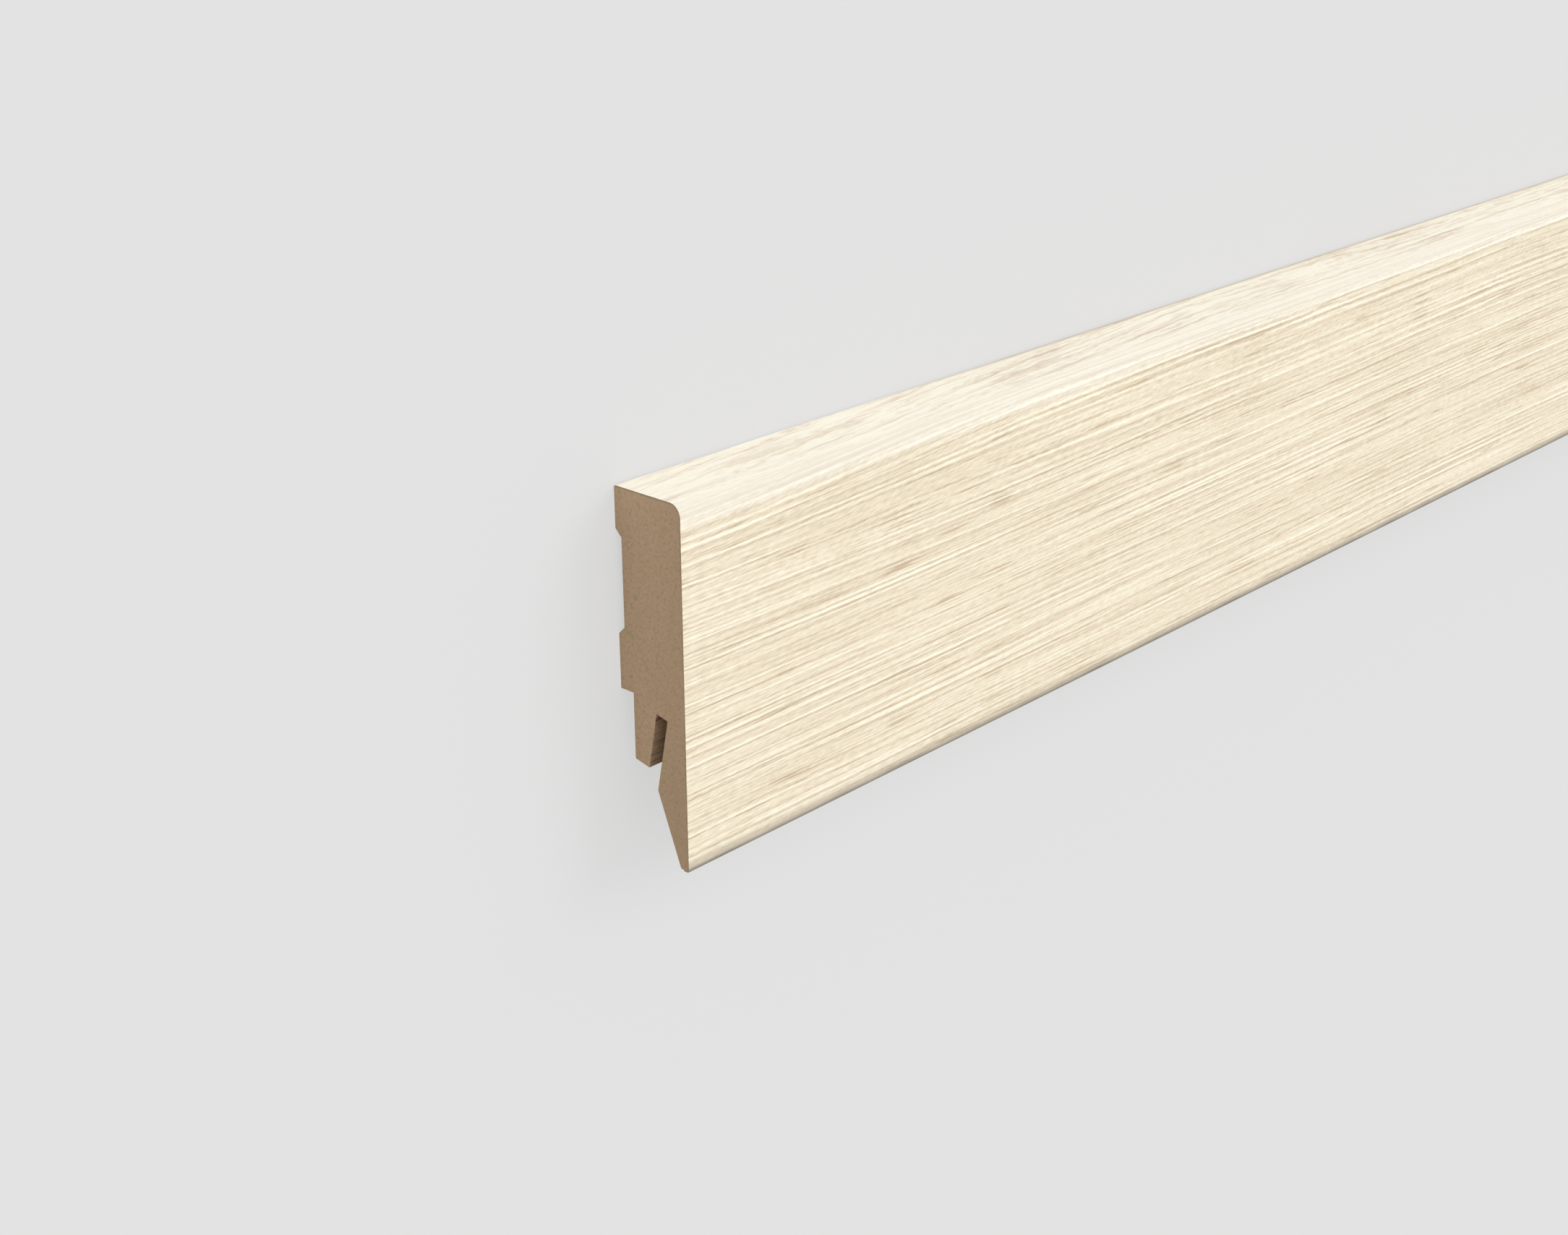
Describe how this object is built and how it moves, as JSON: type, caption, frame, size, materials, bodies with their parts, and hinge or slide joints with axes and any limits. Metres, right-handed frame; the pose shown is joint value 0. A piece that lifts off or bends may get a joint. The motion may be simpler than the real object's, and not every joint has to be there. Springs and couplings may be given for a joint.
{
  "type": "skirting board length",
  "caption": "Straight skirting board with a rounded head edge, a thin lip at the foot and a clip groove in its back, in foil-wrapped MDF.",
  "frame": {"origin": "middle of the board's back, in the plane of its two back lands, which it lies on", "axes": "+X along the board, +Y from its foot edge to its head edge, +Z out of its face"},
  "size_m": [2.4, 0.06, 0.014],
  "materials": {
    "mdf": "raw machined fibreboard",
    "decor": "pale wood-grain decor foil, lightly embossed, satin"
  },
  "bodies": {
    "root": {"mdf_core": "mdf", "decor_foil": "decor"}
  },
  "joints": []
}
